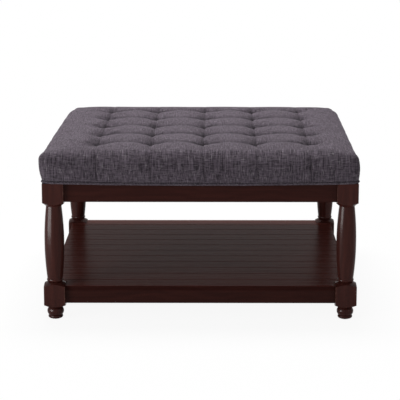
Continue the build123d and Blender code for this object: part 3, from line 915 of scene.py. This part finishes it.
    def shell(self, top, rings, bottom):
        """Points, faces and UV places of a closed shell: a top grid, rings round it, and a bottom grid.

        The UV places are metres of cloth: flat on the top, and carried on over the edge on each side.
        """
        points = np.concatenate([top, *rings, bottom])
        last = len(points) - self.count**2
        belt = np.vstack([self.belt(len(rings)), last + self.rim])
        lines = points[belt]
        steps = np.linalg.norm(np.diff(lines, axis=0), axis=-1)
        down = np.concatenate([[0 * self.rim_x], steps]).cumsum(0)
        down = np.broadcast_to(np.median(down, axis=1, keepdims=True), down.shape) + self.core
        level_x, level_y = (np.abs(out) + np.abs(np.roll(out, -1)) for out in (self.out_x, self.out_y))
        front = level_y >= level_x

        def laid(place, reach):
            """UV places of one corner of every face in the strips."""
            across = np.where(front, place[..., 0], reach * np.sign(self.rim_x))
            return np.stack([across, np.where(front, reach * np.sign(self.rim_y), place[..., 1])], axis=-1)

        corners = [laid(*corner) for corner in zip(cells(closed(lines)), cells(closed(down)))]
        strip_uv = np.stack(corners, axis=-2).reshape(-1, 4, 2)
        grid = grid_faces(self.count)
        under = last + grid[:, ::-1]
        faces = np.concatenate([grid, strip_faces(belt), under])
        return points, faces, np.concatenate([points[grid][..., :2], strip_uv, points[under][..., :2]])


@lru_cache(maxsize=1)
def settled_cloth():
    """Lets the cover's cloth swell under the foam's pressure, held at its tufts and its foot.

    Gives an even grid's line places, and how far its top and its side rings move, cut off smoothly
    at the swell that the sizes allow.
    """
    size = sizes_of("cushion_sizes")
    form = CushionForm(crowding=1.0)
    fold = 0.5 * size.fold
    rings = form.side_rings(0, fold, size.foot + size.foot_round)
    start = np.concatenate([form.top(0, fold), *rings])
    belt = form.belt(len(rings))
    mesh = bpy.data.meshes.new("pattern")
    mesh.from_pydata(start, [], np.concatenate([grid_faces(form.count), strip_faces(belt)]))
    cloth = bpy.data.objects.new("pattern", mesh)
    scene = bpy.context.scene
    scene.collection.objects.link(cloth)
    tufted = np.hypot(form.from_tuft(form.x), form.from_tuft(form.y)).ravel() < form.held
    pins = cloth.vertex_groups.new(name="held")
    pins.add(np.concatenate([np.flatnonzero(tufted), belt[-1], belt[-2]]).tolist(), 1.0, "REPLACE")
    settings = cloth.modifiers.new("cloth", "CLOTH").settings
    settings.quality = 6
    settings.mass = 0.2
    settings.tension_stiffness = settings.compression_stiffness = 12
    settings.shear_stiffness = 6
    settings.bending_stiffness = 0.15
    settings.tension_damping = settings.compression_damping = 12
    settings.shrink_min = -0.025
    settings.use_pressure = True
    settings.uniform_pressure_force = 2.5
    settings.vertex_group_mass = "held"
    settings.effector_weights.gravity = 0
    for step in range(1, CLOTH_FRAMES + 1):
        scene.frame_set(step)
    done = cloth.evaluated_get(bpy.context.evaluated_depsgraph_get()).to_mesh()
    end = np.empty(start.size, np.float32)
    done.vertices.foreach_get("co", end)
    scene.frame_set(1)
    bpy.data.objects.remove(cloth)
    bpy.data.meshes.remove(mesh)
    move = end.reshape(-1, 3) - start
    far = np.linalg.norm(move, axis=-1, keepdims=True) + 1e-9
    move *= size.swell * np.tanh(far / size.swell) / far
    top = move[: form.count**2].reshape(form.count, form.count, 3)
    firm = np.linspace(1, size.side_share, len(rings))[:, None, None]
    return form.places, top, move[belt[1:]] * firm


class TABLE_OT_cover(bpy.types.Operator):
    """Makes the tufted fabric cover: top, sides, the tuck behind the welt, and the hem below"""

    bl_idname = "ottoman.cover"
    bl_label = "Cushion cover"
    bl_options = {"REGISTER", "UNDO"}

    def execute(self, context):
        size = sizes_of("cushion_sizes")
        form = CushionForm()
        inside = size.foot + size.cover
        lower_fold = form.lower_share * size.fold
        top, lining = form.top(0, size.fold), form.top(size.cover, lower_fold)
        rings = form.side_rings(0, size.fold, size.foot + size.foot_round, size.sag)
        inner = form.side_rings(size.cover, lower_fold, inside, size.sag)
        painted_fold_shades = form.painted_fold_shades(len(rings))
        over_top, over_sides = (form.moved(settled_cloth(), kind) for kind in ("top", "sides"))
        top, lining = top + over_top, lining + over_top
        rings = [ring + move for ring, move in zip(rings, over_sides)]
        inner = [ring + move for ring, move in zip(inner, over_sides)]
        rings = [*rings, *form.tucked_rings(inside), *inner[::-1]]
        points, faces, uv = form.shell(top, rings, lining)
        made = piece("tufted_cover", points, faces, uv, linen(), "linen", "cushion_cover")
        # Painted fold shade, kept on the points for the cloth's colour
        painted_fold_shade = np.zeros(len(points), np.float32)
        painted_fold_shade[: len(painted_fold_shades)] = painted_fold_shades
        made.data.attributes.new("painted_fold_shade", "FLOAT", "POINT").data.foreach_set("value", painted_fold_shade)
        made.data.set_sharp_from_angle(angle=radians(75))
        return {"FINISHED"}


class TABLE_OT_foam(bpy.types.Operator):
    """Makes the foam pad, which follows the cover from inside and lies on the seat board"""

    bl_idname = "ottoman.foam"
    bl_label = "Foam pad"
    bl_options = {"REGISTER", "UNDO"}

    def execute(self, context):
        size = sizes_of("cushion_sizes")
        form = CushionForm()
        inset = size.cover + 3 * size.layer_gap
        lower_fold = form.lower_share * size.fold
        rings = form.side_rings(inset, lower_fold, size.foot + size.foot_round)
        kept = sum(ring[0, 2] > board_high.z + 1 * MM for ring in rings)
        top = form.top(inset, lower_fold)
        top = top + form.moved(settled_cloth(), "top")
        rings = [ring + move for ring, move in zip(rings, form.moved(settled_cloth(), "sides"))]
        flat, foot = (part * (1, 1, 0) + (0, 0, board_high.z) for part in (top, rings[kept - 1]))
        points, faces, uv = form.shell(top, [*rings[:kept], foot], flat)
        made = piece("foam_filling", points, faces, uv, foam(), "foam", "foam_pad")
        made.data.set_sharp_from_angle(angle=radians(60))
        return {"FINISHED"}


class TABLE_OT_welt(bpy.types.Operator):
    """Makes the welt: piping in the cover's cloth, on a square line with round corners"""

    bl_idname = "ottoman.welt"
    bl_label = "Welt"
    bl_options = {"REGISTER", "UNDO"}

    # Points along a straight side and round a corner, and sides of the piping
    straight_steps, corner_steps, sides = 90, 14, 16
    # The sine of an eighth of a turn, by which the weave lies on the bias
    eighth = 0.7071

    def execute(self, context):
        """Carries a circle round a loop that is worked out in complex numbers, X + Y times i.

        Small waves lift the loop and swell the circle. Each goes round in whole turns, so its ends meet.
        """
        size = sizes_of("trim_sizes")
        axis = welt_high.x - size.welt_radius
        bend = axis - size.welt_corner
        straight = np.linspace(-bend, bend, self.straight_steps, endpoint=False)
        corner = np.exp(1j * np.linspace(-pi / 2, 0, self.corner_steps, endpoint=False))
        side = np.concatenate([straight - 1j * axis, bend * (1 - 1j) + size.welt_corner * corner])
        outward = np.concatenate([0 * straight - 1j, corner])
        line, outward = (np.concatenate([part * 1j**k for k in range(4)]) for part in (side, outward))
        run = np.concatenate([[0], np.abs(np.roll(line, -1) - line).cumsum()])
        turn = run[:-1] / run[-1] * tau
        swell = 1 + size.welt_swell * (np.sin(61 * turn) + np.sin(97 * turn + 1))
        wave = size.welt_wave * (np.sin(17 * turn) + np.sin(29 * turn + 2))
        wave -= sizes_of("cushion_sizes").sag * np.tile(np.clip(1 - (side.real / axis) ** 2, 0, 1), 4)
        angles = np.arange(self.sides) * (tau / self.sides)
        radius = (size.welt_radius - size.welt_slack) * swell[:, None]
        level = line[:, None] + outward[:, None] * radius * np.cos(angles)
        height = (welt_low.z + welt_high.z) / 2 + wave[:, None] + radius * np.sin(angles)
        points = np.stack([level.real, level.imag, height], axis=-1).reshape(-1, 3)
        rows = np.append(np.arange(len(line)), 0)[:, None] * self.sides
        faces = strip_faces(rows + np.arange(self.sides))
        girth = np.append(angles, tau) * size.welt_radius
        u, v = np.meshgrid(run, girth, indexing="ij")
        bias = np.stack([u + v, v - u], axis=-1) * self.eighth
        uv = np.stack(cells(bias), axis=-2).reshape(-1, 4, 2)
        piece("welt", points, faces, uv, linen(), "linen", "cover_welt")
        return {"FINISHED"}


class TABLE_OT_dust_cover(bpy.types.Operator):
    """Makes the dust cover: a thin cloth stapled along its edge, which sags a little in the middle"""

    bl_idname = "ottoman.dust_cover"
    bl_label = "Dust cover"
    bl_options = {"REGISTER", "UNDO"}

    # Points along each side of the cloth
    count = 73

    def execute(self, context):
        """Lowers a flat sheet by a bowl, the product of two parabolas, and by waves along its edge."""
        trim = sizes_of("trim_sizes")
        half = dust_high.x
        places = np.linspace(-half, half, self.count)
        x, y = np.meshgrid(places, places, indexing="ij")
        bowl = (1 - (x / half) ** 2) * (1 - (y / half) ** 2)
        edge = half - np.maximum(np.abs(x), np.abs(y))
        along = np.where(np.abs(x) > np.abs(y), y, x)
        draw = trim.staple_draw * np.cos(along * (tau / trim.staple_pitch))
        draw *= np.exp(-edge / trim.staple_reach) * (edge > 0)
        sag = np.clip(trim.dust_sag * bowl**1.5 + np.clip(draw, 0, None) * bowl**0.3, 0, None)
        top = np.stack([x, y, dust_high.z - sag], axis=-1).reshape(-1, 3)
        points = np.concatenate([top, top - (0, 0, trim.dust_thickness)])
        grid, rim = grid_faces(self.count), grid_rim(self.count)
        strips = strip_faces(np.stack([rim, rim + self.count**2]))
        faces = np.concatenate([grid, strips, self.count**2 + grid[:, ::-1]])
        uv = points[faces][..., :2]
        made = piece("dust_cloth", points, faces, uv, dust_cloth(), "black_cambric", "dust_cover")
        return {"FINISHED"}


class TABLE_OT_legs(bpy.types.Operator):
    """Finishes the legs: stained, with upright grain and a painted highlight, scuffed like rubbed wear, on
    the arrises of their blocks
    """

    bl_idname = "ottoman.legs"
    bl_label = "Legs"
    bl_options = {"REGISTER", "UNDO"}

    def execute(self, context):
        for end, sign_y in (("front", -1), ("rear", 1)):
            for side, sign_x in (("left", -1), ("right", 1)):
                name = f"leg_{end}_{side}"
                heart_x, heart_y = LEG_HEART
                centre = ((LEG_AXIS + heart_x) * sign_x, (LEG_AXIS + heart_y) * sign_y, 0)
                marks_and_highlight = block_edges(sign_x, sign_y)
                # The legs' stain is painted 1.4 times lighter than the rails', as painted light where the
                # legs stand out of the cushion's shade
                wood = stained_wood(f"{name} wood", "z", centre, marks_and_highlight, tone=1.4, coat=0.22, roughness=0.35)
                dress([name], wood)
        return {"FINISHED"}


class TABLE_OT_rails(bpy.types.Operator):
    """Finishes the aprons and shelf rails: stained, with the grain along each rail"""

    bl_idname = "ottoman.rails"
    bl_label = "Aprons and rails"
    bl_options = {"REGISTER", "UNDO"}

    def execute(self, context):
        level = stained_wood("rail wood across", "x")
        deep = stained_wood("rail wood front to back", "y")
        dress(["apron_front", "apron_rear", "shelf_rail_front", "shelf_rail_rear"], level)
        dress(["apron_left", "apron_right", "shelf_rail_left", "shelf_rail_right"], deep)
        return {"FINISHED"}


class TABLE_OT_shelf(bpy.types.Operator):
    """Finishes the shelf boards: stained, each with its own tone, dark in the grooves, and painted lighter
    to make up for the shade under the cushion
    """

    bl_idname = "ottoman.shelf"
    bl_label = "Shelf boards"
    bl_options = {"REGISTER", "UNDO"}

    def execute(self, context):
        # The shelf's stain is painted 3.4 times lighter than the rails', painted light that makes up for
        # the cushion's shade over it
        shown = {"tone": 3.4, "gloss": 0.004, "coat": 0, "roughness": 0.28}
        dress(named("shelf_board"), stained_wood("shelf wood", "x", marks_and_highlight=board_edges, **shown))
        return {"FINISHED"}


class TABLE_OT_bare_parts(bpy.types.Operator):
    """Finishes the unseen wood: bare corner braces and batten, and the seat board in plywood"""

    bl_idname = "ottoman.bare_parts"
    bl_label = "Braces, batten and seat board"
    bl_options = {"REGISTER", "UNDO"}

    def execute(self, context):
        for tier in ("apron", "shelf"):
            for along, corners in BRACE_CORNERS.items():
                wood = bare_wood(f"{tier} brace wood", along)
                dress([f"{tier}_brace_{corner}" for corner in corners], wood)
        dress(["shelf_batten"], bare_wood("batten wood", "y"))
        dress(["seat_board"], plywood())
        return {"FINISHED"}


class TABLE_OT_hardware(bpy.types.Operator):
    """Finishes the hardware: zinc plated steel, twine, and nylon glides"""

    bl_idname = "ottoman.hardware"
    bl_label = "Hardware"
    bl_options = {"REGISTER", "UNDO"}

    def execute(self, context):
        kinds = ("bolts", "washers", "nuts", "staples", "brads", "screws")
        dress([name for name in nodes if name.endswith(kinds)], zinc())
        dress(["tufting_twines"], twine())
        dress(["floor_glides"], nylon())
        return {"FINISHED"}


def looked_at(finish):
    """1 for rays from the camera, a reflection or clear material, and 0 for those that light the table."""
    path = finish.node("LightPath")
    rays = ("Is Camera Ray", "Is Glossy Ray", "Is Transmission Ray")
    camera, glossy, through = (Signal(finish, path.socket.node.outputs[name]) for name in rays)
    return finish.maths("ADD", camera, glossy + through, clamp=True)


def lamp(name, place, target, size, power):
    """An area lamp that faces a target."""
    light = bpy.data.lights.new(name, "AREA")
    light.shape = "RECTANGLE"
    light.size, light.size_y = size
    light.energy = power
    stand = bpy.data.objects.new(name, light)
    stand.location = place
    stand.rotation_euler = (Vector(target) - Vector(place)).to_track_quat("-Z", "Y").to_euler()
    bpy.context.scene.collection.objects.link(stand)
    return stand


def leg_card():
    """A low bright card near the front left leg, which lights the legs alone and shows in their lacquer."""
    card = lamp("card_left", *LEG_CARD)
    card.visible_diffuse = card.visible_camera = False
    legs = bpy.data.collections.new("legs in the card's light")
    for name in named("leg_"):
        legs.objects.link(nodes[name])
    card.light_linking.receiver_collection = legs


def floor(settings):
    """A wide pale floor, which shows white to the camera but for the table's soft shadow."""
    finish = Finish("floor")
    diffuse = finish.node("BsdfDiffuse", {}, {"Color": settings.floor})
    white = finish.node("Emission", {}, {"Color": (1.0, 1.0, 1.0), "Strength": 1.0})
    x, y, _ = finish.axes(finish.place())
    away = finish.maths("SQRT", x * x + y * y)
    faded = finish.step(away, settings.shadow_near, settings.shadow_far) * settings.shadow
    clear = looked_at(finish) * ((1 - settings.shadow) + faded)
    shader = finish.node("MixShader", {}, {0: clear, 1: diffuse, 2: white})
    finish.node("OutputMaterial", {}, {"Surface": shader})
    corners = np.array([(-1, -1, 0), (1, -1, 0), (1, 1, 0), (-1, 1, 0)]) * FLOOR_HALF
    mesh = bpy.data.meshes.new("floor")
    mesh.from_pydata(corners, [], [(0, 1, 2, 3)])
    mesh.materials.append(finish.material)
    ground = bpy.data.objects.new("floor", mesh)
    bpy.context.scene.collection.objects.link(ground)


def surround(settings):
    """A surround that is white where it is seen, and a dimmer room where it lights the table."""
    world = bpy.data.worlds.new("studio")
    world.use_nodes = True
    bpy.context.scene.world = world
    finish = Finish("studio", world.node_tree)
    strength = looked_at(finish) * (1.0 - settings.studio) + settings.studio
    light = finish.node("Background", {}, {"Color": (1.0, 1.0, 1.0), "Strength": strength})
    finish.node("OutputWorld", {}, {"Surface": light})


class TABLE_OT_stage(bpy.types.Operator):
    """Makes the camera, a pale floor, the lamps and a white surround"""

    bl_idname = "ottoman.stage"
    bl_label = "Stage"
    bl_options = {"REGISTER", "UNDO"}

    def execute(self, context):
        settings = sizes_of("stage_settings")
        scene = bpy.context.scene
        scene.view_settings.view_transform = "Standard"
        camera = bpy.data.objects.new("camera", bpy.data.cameras.new("camera"))
        camera.data.lens = settings.lens
        camera.data.clip_end = CAMERA_REACH
        turned = (
            Matrix.Rotation(settings.yaw, 4, "Z")
            @ Matrix.Rotation(pi / 2 - settings.pitch, 4, "X")
            @ Matrix.Rotation(settings.roll, 4, "Z")
        )
        camera.matrix_world = Matrix.Translation(settings.eye) @ turned
        scene.collection.objects.link(camera)
        scene.camera = camera
        floor(settings)
        surround(settings)
        for name, setup in LAMPS.items():
            lamp(name, *setup)
        leg_card()
        return {"FINISHED"}


class TABLE_PT_pieces(bpy.types.Panel):
    """Lists the table's pieces and its sizes and colours"""

    bl_label = "Ottoman coffee table"
    bl_space_type = "VIEW_3D"
    bl_region_type = "UI"
    bl_category = "Ottoman"

    def draw(self, context):
        for operator in OPERATORS:
            self.layout.operator(operator.bl_idname)
        for name, group in GROUPS.items():
            box = self.layout.box()
            box.label(text=group.__doc__)
            for setting in group.__annotations__:
                box.prop(getattr(context.scene, name), setting)


GROUPS = {
    "cushion_sizes": CushionSizes,
    "trim_sizes": TrimSizes,
    "cloth_colours": ClothColours,
    "wood_colours": WoodColours,
    "stage_settings": StageSettings,
}
OPERATORS = (
    TABLE_OT_stage,
    TABLE_OT_cover,
    TABLE_OT_foam,
    TABLE_OT_welt,
    TABLE_OT_dust_cover,
    TABLE_OT_legs,
    TABLE_OT_rails,
    TABLE_OT_shelf,
    TABLE_OT_bare_parts,
    TABLE_OT_hardware,
)


def register():
    for name, group in GROUPS.items():
        bpy.utils.register_class(group)
        setattr(bpy.types.Scene, name, PointerProperty(type=group))
    for operator in OPERATORS:
        bpy.utils.register_class(operator)
    bpy.utils.register_class(TABLE_PT_pieces)


def unregister():
    bpy.utils.unregister_class(TABLE_PT_pieces)
    for operator in reversed(OPERATORS):
        bpy.utils.unregister_class(operator)
    for name, group in reversed(GROUPS.items()):
        delattr(bpy.types.Scene, name)
        bpy.utils.unregister_class(group)


def main():
    """Makes the whole table."""
    register()
    for operator in OPERATORS:
        family, name = operator.bl_idname.split(".")
        getattr(getattr(bpy.ops, family), name)()


if __name__ == "__main__":
    main()
